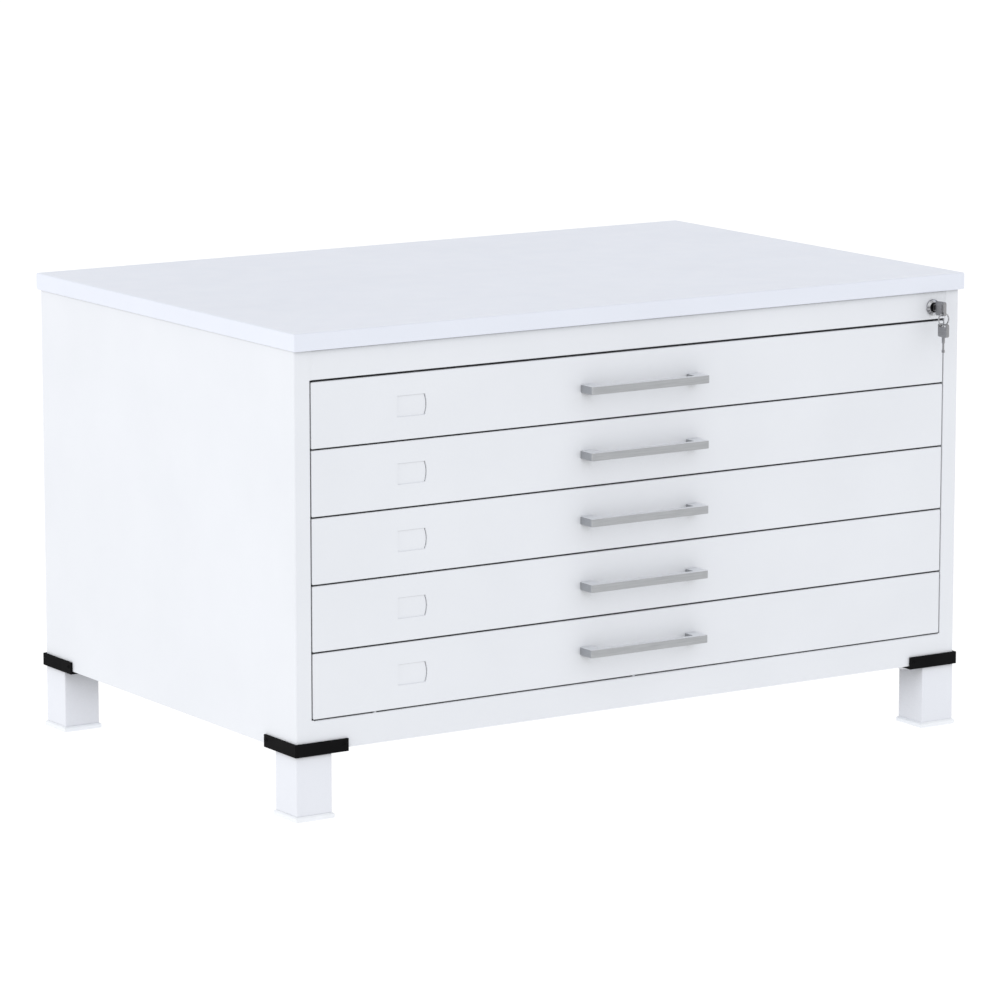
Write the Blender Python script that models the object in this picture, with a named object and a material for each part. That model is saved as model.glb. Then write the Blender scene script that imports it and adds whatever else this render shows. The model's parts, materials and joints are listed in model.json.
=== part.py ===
"""Flat file cabinet for A1 sheets.

A folded steel carcass stands on four square legs. Five shallow drawers run in it on rollers, and a key
lock in the top rail lifts a bar that holds them shut. Metres, +Z up, the front faces -Y. The origin is on
the floor, under the middle of the object's box.
"""

import math

import bmesh
import bpy
from mathutils import Matrix, Vector

# Sheet metal and the gap left between pieces that touch.
SHEET = 0.001
TOUCH = 0.0003
BEND = 0.0018
BEND_STEPS = 3

# Carcass and worktop.
BODY_WIDTH = 1.003
BODY_DEPTH = 0.640
BODY_HEIGHT = 0.4925
FLOOR_TO_BODY = 0.085
TOP_THICKNESS = 0.022
TOP_OVERHANG_SIDE = 0.0035
TOP_OVERHANG_FRONT = 0.0075
TOP_OVERHANG_BACK = 0.005
TOP_RETURN = 0.020
STILE_WIDTH = 0.0226
STILE_LIP = 0.018
BACK_FLANGE = 0.020
TOP_RAIL_HEIGHT = 0.0371
TOP_RAIL_RECESS = 0.0005
BOTTOM_RAIL_HEIGHT = 0.0384
RAIL_RETURN = 0.016
STOP_TAB_PLACES = (-0.3885, -0.006)
STOP_TAB_WIDTH = 0.0036

# Legs, the black corner brackets above them and the plastic feet under them.
LEG_SIZE = 0.050
LEG_WALL = 0.002
BRACKET_SIZE = 0.0758
BRACKET_WALL = 0.003
BRACKET_PLATE = 0.0035
BRACKET_TOP = 0.0973
FOOT_SIZE = 0.0548
FOOT_PLATE = 0.0062
FOOT_CHAMFER = 0.001
FOOT_PLUG_HEIGHT = 0.015

# Drawers.
DRAWERS = 5
SIDE_GAP = 0.0015
TOP_GAP = 0.0025
BETWEEN_GAP = 0.0021
BOTTOM_GAP = 0.0017
FRONT_DEPTH = 0.018
FRONT_RETURN = 0.009
FRONT_EDGE = 0.0008
FRONT_CORNER = 0.0015
TRAY_HALF_WIDTH = 0.464
TRAY_LENGTH = 0.600
TRAY_RISE = 0.008
TRAY_HEIGHT = 0.054

# Label pocket pressed into each drawer front: its right end is an arc with a slit behind it.
POCKET_LEFT = -0.3560
POCKET_RIGHT = -0.3141
POCKET_HEIGHT = 0.0262
POCKET_RISE = 0.0007
POCKET_DEPTH = 0.0011
POCKET_BACKING = 0.0026
POCKET_BULGE = 0.0025
POCKET_SLIT = 0.0008
POCKET_ARC_STEPS = 8

# Bow handle.
HANDLE_LENGTH = 0.178
HANDLE_REACH = 0.0262
HANDLE_HEIGHT = 0.0100
HANDLE_BAR = 0.008
HANDLE_POST = 0.0178
HANDLE_OUTER_RADIUS = 0.003
HANDLE_INNER_RADIUS = 0.002

# Roller runners. Heights are above the drawer front's lower edge.
RUNNER_SHEET = 0.0012
CHANNEL_FRONT = 0.040
CHANNEL_BACK = 0.612
CHANNEL_LOW = 0.0120
CHANNEL_HIGH = 0.0432
CHANNEL_MOUTH = 0.4665
GUIDE_FRONT = 0.034
GUIDE_BACK = 0.606
GUIDE_LOW = 0.0180
GUIDE_HIGH = 0.0404
GUIDE_REACH = 0.0112
ROLLER_RADIUS = 0.0125
ROLLER_WIDTH = 0.0065
ROLLER_GAP = 0.0018
ROLLER_LEVEL = 0.0261
ROLLER_STEPS = 20
AXLE_RADIUS = 0.003
FIXED_ROLLER_BACK = 0.056
MOVING_ROLLER_BACK = 0.590
CATCH_THICKNESS = 0.003
CATCH_REACH = 0.0095
CATCH_LOW = 0.020
CATCH_HIGH = 0.036

# Lock, its bar, and the keys.
LOCK_X = 0.4593
LOCK_BELOW_TOP = 0.0209
LOCK_FLANGE_RADIUS = 0.0102
LOCK_BARREL_RADIUS = 0.0090
LOCK_BORE_RADIUS = 0.0063
LOCK_FRONT = 0.0040
LOCK_RIM = 0.0014
LOCK_NOSE = 0.0009
LOCK_BACK = 0.024
LOCK_STEPS = 32
CORE_RADIUS = 0.0060
CORE_FRONT = 0.0044
CORE_BACK = 0.026
KEYWAY_WIDTH = 0.0026
KEYWAY_HEIGHT = 0.0056
KEYWAY_DEPTH = 0.016
CAM_RADIUS = 0.0108
CAM_THICKNESS = 0.0022
CRANK_RADIUS = 0.00778
CRANK_REST_ANGLE = math.radians(-45)
PIN_RADIUS = 0.002
PIN_LENGTH = 0.0046
BAR_FRONT = 0.0295
BAR_THICKNESS = 0.002
BAR_INNER_X = 0.483
BAR_OUTER_X = 0.497
BAR_LOW = 0.100
BAR_ARM_X = 0.452
BAR_ARM_HEIGHT = 0.013
BAR_TAB_X = 0.468
BAR_TAB_LOW = 0.011
BAR_TAB_HEIGHT = 0.006
SLOT_PLAY = 0.0005
BAR_GUIDE_LEVELS = (0.180, 0.480)
BAR_GUIDE_HEIGHT = 0.012
KEY_BOW_START = 0.0090
KEY_BOW_LENGTH = 0.0172
KEY_BOW_WIDTH = 0.0182
KEY_BOW_THICKNESS = 0.0042
KEY_BOW_CORNER = 0.0025
KEY_BLADE_LENGTH = 0.0202
KEY_BLADE_WIDTH = 0.0044
KEY_BLADE_THICKNESS = 0.0018
KEY_NECK_WIDTH = 0.0018
KEY_NECK_START = 0.0073
KEY_NECK_END = 0.0160
KEY_SLOT_LENGTH = 0.0135
KEY_SLOT_WIDTH = 0.0034
KEY_HOLE_INSET = 0.0027
RING_RADIUS = 0.0081
RING_WIRE = 0.0008
RING_DROP = 0.0052
SPARE_DROP = 0.0003
RING_STEPS = 28
WIRE_STEPS = 8

# Places worked out from the dimensions above.
HALF_WIDTH = BODY_WIDTH / 2
BODY_TOP = FLOOR_TO_BODY + BODY_HEIGHT
KEY_HOLE_REACH = KEY_BOW_START + KEY_BOW_LENGTH - KEY_HOLE_INSET
OBJECT_REACH = KEY_HOLE_REACH + KEY_BOW_WIDTH / 2
FRONT_Y = (OBJECT_REACH - BODY_DEPTH - TOP_OVERHANG_BACK) / 2
BACK_Y = FRONT_Y + BODY_DEPTH
OPENING_HALF = HALF_WIDTH - STILE_WIDTH
FRONT_HALF = OPENING_HALF - SIDE_GAP
RAIL_HALF = OPENING_HALF - TOUCH
OPENING_LOW = FLOOR_TO_BODY + BOTTOM_RAIL_HEIGHT
OPENING_HIGH = BODY_TOP - TOP_RAIL_HEIGHT
FRONT_HEIGHT = (
    OPENING_HIGH - OPENING_LOW - TOP_GAP - BOTTOM_GAP - (DRAWERS - 1) * BETWEEN_GAP
) / DRAWERS
PITCH = FRONT_HEIGHT + BETWEEN_GAP
LOCK_Z = BODY_TOP - LOCK_BELOW_TOP
LOCK_PLACE = Vector((LOCK_X, FRONT_Y, LOCK_Z))

# Turn a mesh that was drawn along +Z so that it lies along another axis.
ALONG_Y = Matrix.Rotation(math.radians(-90), 4, "X")
ALONG_X = Matrix.Rotation(math.radians(90), 4, "Y")


def drawer_low(number):
    """Height of the lower edge of a drawer's front; drawer 1 is the top one."""
    return OPENING_LOW + BOTTOM_GAP + (DRAWERS - number) * PITCH


# Materials and objects.


def material(name, colour, roughness, metallic=0.0):
    made = bpy.data.materials.new(name)
    made.use_nodes = True
    shader = made.node_tree.nodes["Principled BSDF"]
    shader.inputs["Base Color"].default_value = (*colour, 1.0)
    shader.inputs["Roughness"].default_value = roughness
    shader.inputs["Metallic"].default_value = metallic
    return made


def add_node(name, mesh, finish, place=(0, 0, 0), parent=None, smooth=False):
    """Makes the named object from a bmesh, at a place given in its parent's frame."""
    bmesh.ops.recalc_face_normals(mesh, faces=mesh.faces)
    data = bpy.data.meshes.new(name)
    mesh.to_mesh(data)
    mesh.free()
    data.materials.append(finish)
    if smooth:
        data.shade_smooth()
        data.set_sharp_from_angle(angle=math.radians(35))
    made = bpy.data.objects.new(name, data)
    bpy.context.scene.collection.objects.link(made)
    made.location = place
    made.parent = parent
    return made


def add_empty(name, place, parent=None):
    made = bpy.data.objects.new(name, None)
    bpy.context.scene.collection.objects.link(made)
    made.location = place
    made.parent = parent
    return made


def add_tool(name, mesh, target):
    """A hidden helper that stands in the same frame as its target."""
    helper = add_node(name, mesh, target.data.materials[0], target.location, target.parent)
    helper.hide_render = True
    helper.display_type = "WIRE"
    return helper


def combine(target, tool_mesh, label, operation):
    modifier = target.modifiers.new(label, "BOOLEAN")
    modifier.operation = operation
    modifier.solver = "EXACT"
    modifier.object = add_tool(f"{target.name}.{label}", tool_mesh, target)


def cut(target, tool_mesh, label):
    combine(target, tool_mesh, label, "DIFFERENCE")


def join(target, tool_mesh, label):
    combine(target, tool_mesh, label, "UNION")


# Shapes. Each returns a bmesh.


def block(low, high):
    mesh = bmesh.new()
    bmesh.ops.create_cube(mesh, size=1)
    low, high = Vector(low), Vector(high)
    size = high - low
    scaling = Matrix.Diagonal((*size, 1))
    mesh.transform(Matrix.Translation((low + high) / 2) @ scaling)
    return mesh


def prism(outline, start, end, axis):
    """Extrudes a flat outline along X, Y or Z, from start to end. The outline gives the other two coordinates."""
    place = {
        "X": lambda p, s: (s, p[0], p[1]),
        "Y": lambda p, s: (p[0], s, p[1]),
        "Z": lambda p, s: (p[0], p[1], s),
    }[axis]
    mesh = bmesh.new()
    face = mesh.faces.new([mesh.verts.new(place(point, start)) for point in outline])
    grown = bmesh.ops.extrude_face_region(mesh, geom=[face])
    moved = [v for v in grown["geom"] if isinstance(v, bmesh.types.BMVert)]
    shift = Vector(place((0, 0), end)) - Vector(place((0, 0), start))
    bmesh.ops.translate(mesh, vec=shift, verts=moved)
    return mesh


def rounded(points, radii, steps):
    """The open or closed run of points with each inner corner turned on a radius."""
    turned = []
    for i, point in enumerate(points):
        radius = radii[i] if isinstance(radii, (list, tuple)) else radii
        here = Vector(point)
        before, after = Vector(points[i - 1]) - here, Vector(points[(i + 1) % len(points)]) - here
        if radius <= 0:
            turned.append(here)
            continue
        before.normalize()
        after.normalize()
        half = before.angle(after) / 2
        centre = here + (before + after).normalized() * radius / math.sin(half)
        first = here + before * radius / math.tan(half) - centre
        last = here + after * radius / math.tan(half) - centre
        sweep = first.angle_signed(last)
        for step in range(steps + 1):
            arm = first.copy()
            arm.rotate(Matrix.Rotation(-sweep * step / steps, 2))
            turned.append(centre + arm)
    return turned


def folded(path, thickness, bend=BEND, steps=BEND_STEPS):
    """The closed outline of a sheet folded along a path of its outer corners, thick towards its left."""
    radii = [0] + [bend] * (len(path) - 2) + [0]
    run = rounded([Vector(p) for p in path], radii, steps)
    inner = []
    for i, point in enumerate(run):
        normals = []
        for a, b in ((i - 1, i), (i, i + 1)):
            if 0 <= a and b < len(run):
                along = (run[b] - run[a]).normalized()
                normals.append(Vector((-along.y, along.x)))
        mean = sum(normals, Vector((0, 0))).normalized()
        inner.append(point + mean * thickness / mean.dot(normals[0]))
    return run + inner[::-1]


def rectangle_rings(half_x, half_y, profile, corner=0.0):
    """A hollow or stepped box: each profile point (inset, height) is a rectangle, and each joins the next."""
    mesh = bmesh.new()
    rings = []
    for inset, height in profile:
        x, y = half_x - inset, half_y - inset
        corners = rounded([(-x, -y), (x, -y), (x, y), (-x, y)], corner, 2)
        rings.append([mesh.verts.new((*point, height)) for point in corners])
    for lower, upper in zip(rings, rings[1:]):
        for i in range(len(lower)):
            j = (i + 1) % len(lower)
            mesh.faces.new((lower[i], lower[j], upper[j], upper[i]))
    mesh.faces.new(rings[0])
    mesh.faces.new(rings[-1])
    return mesh


def turned(profile, steps, closed=False):
    """A body turned about Z from (radius, height) points. An open profile starts and ends on the axis."""
    mesh = bmesh.new()
    run = [mesh.verts.new((radius, 0, height)) for radius, height in profile]
    ends = list(zip(run, run[1:])) + ([(run[-1], run[0])] if closed else [])
    edges = [mesh.edges.new(pair) for pair in ends]
    bmesh.ops.spin(
        mesh, geom=run + edges, axis=(0, 0, 1), cent=(0, 0, 0), steps=steps, angle=math.tau, use_merge=True
    )
    bmesh.ops.remove_doubles(mesh, verts=mesh.verts, dist=1e-6)
    return mesh


def cylinder(radius, start, end, steps):
    return turned([(0, start), (radius, start), (radius, end), (0, end)], steps)


# Carcass.


def side_panel(side, finish):
    """Side wall with the front stile, its lip and the back flange folded from one sheet. side is -1 or 1."""
    name = "side_panel_left" if side < 0 else "side_panel_right"
    plan = [
        (-OPENING_HALF, FRONT_Y + STILE_LIP),
        (-OPENING_HALF, FRONT_Y),
        (-HALF_WIDTH, FRONT_Y),
        (-HALF_WIDTH, BACK_Y),
        (-HALF_WIDTH + BACK_FLANGE, BACK_Y),
    ]
    top = BODY_TOP - TOUCH
    mirror = Matrix.Diagonal((-side, 1, 1, 1))
    wall = prism(folded(plan[::-1], SHEET), FLOOR_TO_BODY, top, "Z")
    wall.transform(mirror)
    made = add_node(name, wall, finish)
    flange_y = (FRONT_Y + STILE_LIP + 4 * SHEET, BACK_Y - BACK_FLANGE - 4 * SHEET)
    for label, low, high in (
        ("top_flange", top - SHEET, top),
        ("bottom_flange", FLOOR_TO_BODY, FLOOR_TO_BODY + SHEET),
    ):
        flange = block(
            (-HALF_WIDTH + SHEET / 2, flange_y[0], low), (-OPENING_HALF, flange_y[1], high)
        )
        flange.transform(mirror)
        join(made, flange, label)
    return made


def add_bar_guides(panel):
    """Lanced tabs on the right side panel, in front of and behind the lock bar."""
    for number, level in enumerate(BAR_GUIDE_LEVELS, 1):
        for label, start in (
            ("front", BAR_FRONT - TOUCH - 1.5 * SHEET),
            ("back", BAR_FRONT + BAR_THICKNESS + TOUCH),
        ):
            tab = block(
                (BAR_INNER_X + 0.004, FRONT_Y + start, level),
                (HALF_WIDTH - SHEET / 2, FRONT_Y + start + 1.5 * SHEET, level + BAR_GUIDE_HEIGHT),
            )
            join(panel, tab, f"guide_{label}_{number}")


def back_panel(finish):
    """Sheet inside the side panels' back flanges, folded forward at its top."""
    back = BACK_Y - SHEET - TOUCH
    half = HALF_WIDTH - SHEET - TOUCH
    top = BODY_TOP - TOUCH
    profile = [
        (back, FLOOR_TO_BODY + SHEET + TOUCH),
        (back, top),
        (back - BACK_FLANGE, top),
    ]
    return add_node("back_panel", prism(folded(profile, SHEET), -half, half, "X"), finish)


def base_pan(finish):
    """Floor of the carcass, folded up at the front into the bottom rail, with two small stop tabs on it."""
    profile = [
        (FRONT_Y + RAIL_RETURN, OPENING_LOW),
        (FRONT_Y, OPENING_LOW),
        (FRONT_Y, FLOOR_TO_BODY),
        (BACK_Y - SHEET - TOUCH, FLOOR_TO_BODY),
    ]
    made = add_node("base_pan", prism(folded(profile, SHEET), -RAIL_HALF, RAIL_HALF, "X"), finish)
    for number, place in enumerate(STOP_TAB_PLACES, 1):
        tab = block(
            (place - STOP_TAB_WIDTH / 2, FRONT_Y + BEND, OPENING_LOW - SHEET / 2),
            (place + STOP_TAB_WIDTH / 2, FRONT_Y + 3 * BEND, OPENING_LOW + BOTTOM_GAP - 2 * TOUCH),
        )
        join(made, tab, f"stop_tab_{number}")
    return made


def top_rail(finish):
    """Rail between the stiles above the drawers. The lock goes through it."""
    face = FRONT_Y + TOP_RAIL_RECESS
    top = BODY_TOP - TOUCH
    profile = [
        (face + RAIL_RETURN, top),
        (face, top),
        (face, OPENING_HIGH),
        (face + RAIL_RETURN, OPENING_HIGH),
    ]
    made = add_node("top_rail", prism(folded(profile, SHEET), -RAIL_HALF, RAIL_HALF, "X"), finish)
    hole = cylinder(LOCK_BARREL_RADIUS + TOUCH, -0.01, 0.01, LOCK_STEPS)
    hole.transform(Matrix.Translation(LOCK_PLACE) @ ALONG_Y)
    cut(made, hole, "lock_hole")
    return made


def worktop(finish):
    """Folded steel cap with a return all round its lower edge."""
    half_x = HALF_WIDTH + TOP_OVERHANG_SIDE
    depth = TOP_OVERHANG_FRONT + BODY_DEPTH + TOP_OVERHANG_BACK
    edge = 0.0012
    profile = [
        (edge, TOP_THICKNESS),
        (0, TOP_THICKNESS - edge),
        (0, edge),
        (edge, 0),
        (TOP_RETURN, 0),
        (TOP_RETURN, SHEET),
        (SHEET, SHEET),
        (SHEET, TOP_THICKNESS - SHEET),
    ]
    mesh = rectangle_rings(half_x, depth / 2, profile)
    place = (0, FRONT_Y - TOP_OVERHANG_FRONT + depth / 2, BODY_TOP)
    return add_node("worktop", mesh, finish, place)


# Legs.


def leg_set(side, end, steel, black, plastic):
    """One leg with its foot and corner bracket. side is -1 left or 1 right, end is -1 front or 1 back."""
    tag = ("front" if end < 0 else "back") + ("_left" if side < 0 else "_right")
    corner = Vector((side * HALF_WIDTH, FRONT_Y if end < 0 else BACK_Y, 0))
    inward = Vector((-side, -end, 0))
    leg_centre = corner + inward * LEG_SIZE / 2
    plate_low = FLOOR_TO_BODY - TOUCH - BRACKET_PLATE

    leg_top = plate_low - TOUCH
    tube = [
        (0, leg_top),
        (0, FOOT_PLATE + TOUCH),
        (LEG_WALL, FOOT_PLATE + TOUCH),
        (LEG_WALL, leg_top - LEG_WALL),
    ]
    add_node(f"leg_{tag}", rectangle_rings(LEG_SIZE / 2, LEG_SIZE / 2, tube), steel, leg_centre)

    plug = (FOOT_SIZE - LEG_SIZE) / 2 + LEG_WALL + 2 * TOUCH
    foot = [
        (FOOT_CHAMFER, 0),
        (0, FOOT_CHAMFER),
        (0, FOOT_PLATE - FOOT_CHAMFER),
        (FOOT_CHAMFER, FOOT_PLATE),
        (plug, FOOT_PLATE),
        (plug, FOOT_PLATE + FOOT_PLUG_HEIGHT),
    ]
    add_node(f"foot_{tag}", rectangle_rings(FOOT_SIZE / 2, FOOT_SIZE / 2, foot), plastic, leg_centre)

    outer = corner - inward * (BRACKET_WALL + TOUCH)
    inner = outer + inward * BRACKET_SIZE
    low = Vector(map(min, outer, inner))
    high = Vector(map(max, outer, inner))
    low.z, high.z = plate_low, BRACKET_TOP
    bracket = add_node(f"corner_bracket_{tag}", block(low, high), black)
    room_corner = outer + inward * BRACKET_WALL
    room_far = inner + inward * 0.01
    room_low = Vector(map(min, room_corner, room_far))
    room_high = Vector(map(max, room_corner, room_far))
    room_low.z, room_high.z = plate_low + BRACKET_PLATE, BRACKET_TOP + 0.01
    cut(bracket, block(room_low, room_high), "room")


# Runners.


def roller_on_axle(start_x, roller_x):
    """A roller and its riveted axle, turned as one along X. The axle starts at start_x."""
    toward = 1 if roller_x > start_x else -1
    near, far = abs(roller_x - start_x), abs(roller_x - start_x) + ROLLER_WIDTH
    profile = [
        (0, 0),
        (AXLE_RADIUS, 0),
        (AXLE_RADIUS, near),
        (ROLLER_RADIUS, near),
        (ROLLER_RADIUS, far),
        (0, far),
    ]
    mesh = turned(profile, ROLLER_STEPS)
    mesh.transform(ALONG_X)
    mesh.transform(Matrix.Translation((start_x, 0, 0)) @ Matrix.Diagonal((toward, 1, 1, 1)))
    return mesh


def cabinet_runner(number, side, finish):
    """Deep channel on the side wall, with a roller at its front end that carries the drawer."""
    web = HALF_WIDTH - SHEET - TOUCH
    low = drawer_low(number)
    section = [
        (CHANNEL_MOUTH, low + CHANNEL_HIGH),
        (web, low + CHANNEL_HIGH),
        (web, low + CHANNEL_LOW),
        (CHANNEL_MOUTH, low + CHANNEL_LOW),
    ]
    channel = prism(
        folded(section[::-1], RUNNER_SHEET, bend=0.0016, steps=1),
        FRONT_Y + CHANNEL_FRONT,
        FRONT_Y + CHANNEL_BACK,
        "Y",
    )
    channel.transform(Matrix.Diagonal((side, 1, 1, 1)))
    name = f"cabinet_runner_{number}_" + ("left" if side < 0 else "right")
    made = add_node(name, channel, finish)
    roller_outer = CHANNEL_MOUTH + ROLLER_WIDTH + 0.0005
    roller = roller_on_axle(web - RUNNER_SHEET / 2, roller_outer)
    place = Matrix.Translation((0, FRONT_Y + FIXED_ROLLER_BACK, low + ROLLER_LEVEL))
    roller.transform(Matrix.Diagonal((side, 1, 1, 1)) @ place)
    join(made, roller, "roller")
    return made


def drawer_runner(number, side, finish, parent):
    """Angle on the tray's side with a roller at its back end, and on the right the catch for the lock bar."""
    inner = TRAY_HALF_WIDTH + TOUCH
    section = [
        (inner + GUIDE_REACH, GUIDE_HIGH),
        (inner, GUIDE_HIGH),
        (inner, GUIDE_LOW),
    ]
    angle = prism(
        folded(section, RUNNER_SHEET, bend=0.0016, steps=1), GUIDE_FRONT, GUIDE_BACK, "Y"
    )
    angle.transform(Matrix.Diagonal((side, 1, 1, 1)))
    name = f"drawer_runner_{number}_" + ("left" if side < 0 else "right")
    made = add_node(name, angle, finish, parent=parent)
    roller = roller_on_axle(inner + RUNNER_SHEET / 2, inner + RUNNER_SHEET + ROLLER_GAP)
    place = Matrix.Translation((0, MOVING_ROLLER_BACK, ROLLER_LEVEL))
    roller.transform(Matrix.Diagonal((side, 1, 1, 1)) @ place)
    join(made, roller, "roller")
    if side > 0:
        catch = block(
            (inner + RUNNER_SHEET / 2, GUIDE_FRONT, CATCH_LOW),
            (inner + CATCH_REACH, GUIDE_FRONT + CATCH_THICKNESS, CATCH_HIGH),
        )
        join(made, catch, "catch")
    return made


# Drawers.


def pocket_outline(left, right, half_height, bulge):
    """Label pocket seen from the front: three straight sides and a right end that bulges on an arc."""
    sweep = 4 * math.atan2(bulge, half_height)
    radius = half_height / math.sin(sweep / 2)
    centre = right + bulge - radius
    arc = []
    for step in range(POCKET_ARC_STEPS + 1):
        angle = -sweep / 2 + sweep * step / POCKET_ARC_STEPS
        arc.append((centre + radius * math.cos(angle), radius * math.sin(angle)))
    return [(left, half_height), (left, -half_height)] + arc


def drawer_front(number, finish, parent):
    """Front pan, open at the back behind its returns, with the label pocket pressed into its face."""
    profile = [
        (FRONT_EDGE, 0),
        (0, FRONT_EDGE),
        (0, FRONT_DEPTH),
        (FRONT_RETURN, FRONT_DEPTH),
        (FRONT_RETURN, FRONT_DEPTH - SHEET),
        (SHEET, FRONT_DEPTH - SHEET),
        (SHEET, SHEET),
    ]
    middle = FRONT_HEIGHT / 2
    mesh = rectangle_rings(FRONT_HALF, middle, profile, FRONT_CORNER)
    mesh.transform(Matrix.Translation((0, 0, middle)) @ ALONG_Y)
    made = add_node(f"drawer_front_{number}", mesh, finish, parent=parent)

    half = POCKET_HEIGHT / 2
    level = middle + POCKET_RISE
    rim = 2 * SHEET
    backing = block(
        (POCKET_LEFT - rim, SHEET / 2, level - half - rim),
        (POCKET_RIGHT + POCKET_BULGE + rim, POCKET_BACKING, level + half + rim),
    )
    join(made, backing, "pocket_backing")
    right = POCKET_RIGHT - POCKET_BULGE
    recess = prism(pocket_outline(POCKET_LEFT, right, half, POCKET_BULGE), -0.01, POCKET_DEPTH, "Y")
    recess.transform(Matrix.Translation((0, 0, level)))
    cut(made, recess, "pocket")
    outer = pocket_outline(POCKET_LEFT, right, half - POCKET_SLIT, POCKET_BULGE)[2:]
    inner = [(x - POCKET_SLIT, z) for x, z in reversed(outer)]
    slit = prism(outer + inner, -0.01, POCKET_BACKING + SHEET, "Y")
    slit.transform(Matrix.Translation((-TOUCH, 0, level)))
    cut(made, slit, "pocket_slit")
    return made


def drawer_tray(number, finish, parent):
    """Shallow open tray."""
    profile = [(0, 0), (0, TRAY_HEIGHT), (SHEET, TRAY_HEIGHT), (SHEET, SHEET)]
    mesh = rectangle_rings(TRAY_HALF_WIDTH, TRAY_LENGTH / 2, profile)
    mesh.transform(
        Matrix.Translation((0, FRONT_DEPTH + TOUCH + TRAY_LENGTH / 2, TRAY_RISE))
    )
    return add_node(f"drawer_tray_{number}", mesh, finish, parent=parent)


def drawer_handle(number, finish, parent):
    """Bow handle: a bar on two posts, bent from one section."""
    half = HANDLE_LENGTH / 2
    post = half - HANDLE_POST
    back, front = -TOUCH, -HANDLE_REACH
    outline = [
        (-half, back),
        (-half, front),
        (half, front),
        (half, back),
        (post, back),
        (post, front + HANDLE_BAR),
        (-post, front + HANDLE_BAR),
        (-post, back),
    ]
    outer, inner = HANDLE_OUTER_RADIUS, HANDLE_INNER_RADIUS
    corners = rounded(outline, [0, outer, outer, 0, 0, inner, inner, 0], 3)
    low = (FRONT_HEIGHT - HANDLE_HEIGHT) / 2
    mesh = prism(corners, low, low + HANDLE_HEIGHT, "Z")
    return add_node(f"drawer_handle_{number}", mesh, finish, parent=parent, smooth=True)


def drawer(number, steel, zinc, grey):
    hub = add_empty(f"drawer_{number}", (0, FRONT_Y, drawer_low(number)))
    drawer_front(number, steel, hub)
    drawer_tray(number, steel, hub)
    drawer_handle(number, grey, hub)
    for side in (-1, 1):
        drawer_runner(number, side, zinc, hub)
        cabinet_runner(number, side, zinc)


# Lock. Its pieces are drawn along +Y from the front face of the cabinet, about the lock's axis.


def lock_housing(finish):
    flange_back = TOP_RAIL_RECESS - TOUCH
    profile = [
        (LOCK_BORE_RADIUS, -LOCK_FRONT),
        (LOCK_BORE_RADIUS + LOCK_NOSE, -LOCK_FRONT),
        (LOCK_FLANGE_RADIUS, -LOCK_RIM),
        (LOCK_FLANGE_RADIUS, flange_back),
        (LOCK_BARREL_RADIUS, flange_back),
        (LOCK_BARREL_RADIUS, LOCK_BACK),
        (LOCK_BORE_RADIUS, LOCK_BACK),
    ]
    mesh = turned(profile, LOCK_STEPS, closed=True)
    mesh.transform(ALONG_Y)
    return add_node("lock_housing", mesh, finish, LOCK_PLACE, smooth=True)


def lock_core(finish, parent):
    mesh = cylinder(CORE_RADIUS, -CORE_FRONT, CORE_BACK, LOCK_STEPS)
    mesh.transform(ALONG_Y)
    made = add_node("lock_core", mesh, finish, parent=parent, smooth=True)
    half_width, half_height = KEYWAY_WIDTH / 2, KEYWAY_HEIGHT / 2
    keyway = block((-half_width, -0.01, -half_height), (half_width, KEYWAY_DEPTH, half_height))
    cut(made, keyway, "keyway")
    return made


def lock_cam(finish, parent):
    """Disc on the core's tail with the crank pin that lifts the lock bar."""
    start = CORE_BACK + TOUCH
    disc = cylinder(CAM_RADIUS, start, start + CAM_THICKNESS, LOCK_STEPS)
    disc.transform(ALONG_Y)
    made = add_node("lock_cam", disc, finish, parent=parent, smooth=True)
    pin = cylinder(PIN_RADIUS, start + CAM_THICKNESS / 2, start + CAM_THICKNESS + PIN_LENGTH, 12)
    crank = Vector((math.cos(CRANK_REST_ANGLE), 0, math.sin(CRANK_REST_ANGLE))) * CRANK_RADIUS
    pin.transform(Matrix.Translation(crank) @ ALONG_Y)
    join(made, pin, "crank_pin")
    return made


def lock_bar(finish):
    """Upright bar with a tab for each drawer. Its arm reaches to the lock, and the crank pin lifts its slot."""
    pin_x = LOCK_X + CRANK_RADIUS * math.cos(CRANK_REST_ANGLE)
    pin_z = LOCK_Z + CRANK_RADIUS * math.sin(CRANK_REST_ANGLE)
    arm_low = pin_z - BAR_ARM_HEIGHT / 2
    outline = [(BAR_OUTER_X, BAR_LOW), (BAR_OUTER_X, arm_low + BAR_ARM_HEIGHT)]
    outline += [(BAR_ARM_X, arm_low + BAR_ARM_HEIGHT), (BAR_ARM_X, arm_low), (BAR_INNER_X, arm_low)]
    for number in range(1, DRAWERS + 1):
        low = drawer_low(number) + BAR_TAB_LOW
        high = low + BAR_TAB_HEIGHT
        outline += [(BAR_INNER_X, high), (BAR_TAB_X, high), (BAR_TAB_X, low), (BAR_INNER_X, low)]
    outline.append((BAR_INNER_X, BAR_LOW))
    mesh = prism(outline, FRONT_Y + BAR_FRONT, FRONT_Y + BAR_FRONT + BAR_THICKNESS, "Y")
    made = add_node("lock_bar", mesh, finish)

    half_height = PIN_RADIUS + SLOT_PLAY
    left = pin_x - PIN_RADIUS - SLOT_PLAY
    right = LOCK_X + CRANK_RADIUS + PIN_RADIUS + SLOT_PLAY
    corners = [
        (left, pin_z - half_height),
        (right, pin_z - half_height),
        (right, pin_z + half_height),
        (left, pin_z + half_height),
    ]
    start = FRONT_Y + BAR_FRONT - 0.01
    slot = prism(rounded(corners, 0.99 * half_height, 4), start, start + 0.03, "Y")
    cut(made, slot, "slot")
    return made


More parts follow.
